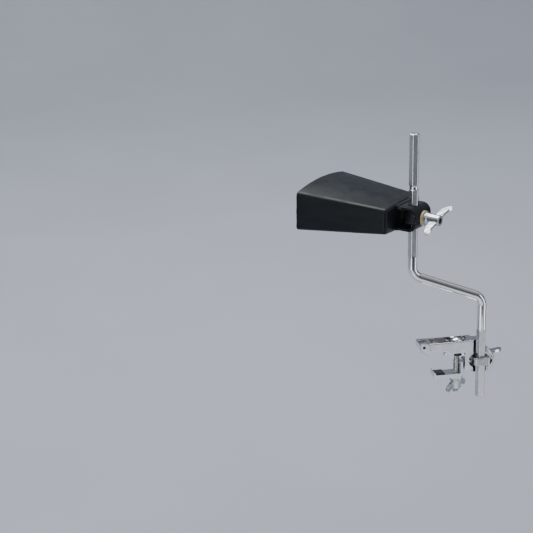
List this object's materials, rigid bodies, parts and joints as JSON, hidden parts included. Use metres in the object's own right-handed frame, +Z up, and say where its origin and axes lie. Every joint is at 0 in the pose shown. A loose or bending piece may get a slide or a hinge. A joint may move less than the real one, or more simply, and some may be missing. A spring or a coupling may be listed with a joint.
{
  "type": "cowbell with hoop mount",
  "caption": "Black steel cowbell on a strap clamp, carried by a bent chrome Z-rod in a clamp that grips a drum hoop.",
  "frame": {"origin": "where the arm's seat pad bears on the drum hoop's top edge, in the middle of the arm's width", "axes": "+Z up, +X outwards from the drum along the clamp arm, rod on the -Y side of the arm"},
  "size_m": [0.2122, 0.148, 0.281],
  "materials": {
    "cast_chrome": "polished chrome on die casting",
    "rod_chrome": "polished chrome, satin on the pressed flats",
    "black_powder": "satin black powder coat",
    "weld_black": "satin black powder coat over weld",
    "zinc_steel": "bright zinc plate",
    "nut_chrome": "chromed casting",
    "dark_steel": "blackened steel",
    "brass_screw": "dull brass",
    "pad_rubber": "matt black rubber",
    "ring_nylon": "dark nylon",
    "fibre_tan": "tan vulcanised fibre"
  },
  "bodies": {
    "hoop_clamp": {"clamp_arm": "cast_chrome", "inner_jaw": "cast_chrome", "jaw_pin": "dark_steel", "seat_pad": "pad_rubber", "pad_screw": "brass_screw", "clamp_bolt": "nut_chrome", "bolt_head_washer": "ring_nylon", "bolt_lock_nut": "dark_steel", "rod_flat_washer": "zinc_steel", "rod_lock_washer": "zinc_steel"},
    "claw": {"lower_claw": "cast_chrome", "claw_pad": "pad_rubber", "claw_washer": "zinc_steel"},
    "claw_nut": {"claw_wing_nut": "nut_chrome"},
    "rod_eye": {"rod_eye_bolt": "zinc_steel"},
    "rod_nut": {"rod_wing_nut": "nut_chrome"},
    "rod": {"z_rod": "rod_chrome"},
    "bell": {"bell_upper_shell": "black_powder", "bell_lower_shell": "black_powder", "bell_seam_weld": "weld_black", "mount_strap": "black_powder", "strap_welds": "weld_black", "bell_fibre_washer": "fibre_tan", "bell_flat_washer": "zinc_steel"},
    "bell_eye": {"bell_eye_bolt": "zinc_steel"},
    "bell_nut": {"bell_wing_nut": "nut_chrome"}
  },
  "joints": [
    {"name": "rod_height", "type": "slide", "parent": "hoop_clamp", "child": "rod", "axis": [0, 0, 1], "range_m": [-0.03, 0.025]},
    {"name": "bell_swivel", "type": "hinge", "parent": "rod", "child": "bell", "pos_m": [-0.032, -0.0085, 0.1464], "axis": [0, 0, 1], "continuous": true},
    {"name": "bell_nut_turn", "type": "hinge", "parent": "bell", "child": "bell_nut", "pos_m": [-0.032, -0.0085, 0.1464], "axis": [0.6947, -0.7193, 0], "range_deg": [-5, 365]},
    {"name": "bell_eye_slack", "type": "slide", "parent": "bell", "child": "bell_eye", "axis": [0.6947, -0.7193, 0], "range_m": [-0.001, 0]},
    {"name": "rod_nut_turn", "type": "hinge", "parent": "hoop_clamp", "child": "rod_nut", "pos_m": [0.0415, -0.0085, -0.011], "axis": [0, 1, 0], "range_deg": [-5, 365]},
    {"name": "rod_eye_slack", "type": "slide", "parent": "hoop_clamp", "child": "rod_eye", "axis": [0, 1, 0], "range_m": [-0.001, 0]},
    {"name": "claw_travel", "type": "slide", "parent": "hoop_clamp", "child": "claw", "axis": [0, 0, -1], "range_m": [-0.001, 0.006]},
    {"name": "claw_nut_turn", "type": "hinge", "parent": "claw", "child": "claw_nut", "pos_m": [0.0185, 0, -0.032], "axis": [0, 0, -1], "range_deg": [-365, 2165]}
  ],
  "couplings": [
    {"joint": "bell_nut_turn", "follows": "bell_eye_slack", "rad_per_m": -6283.2},
    {"joint": "rod_nut_turn", "follows": "rod_eye_slack", "rad_per_m": -6283.2},
    {"joint": "claw_nut_turn", "follows": "claw_travel", "rad_per_m": 6283.2}
  ]
}
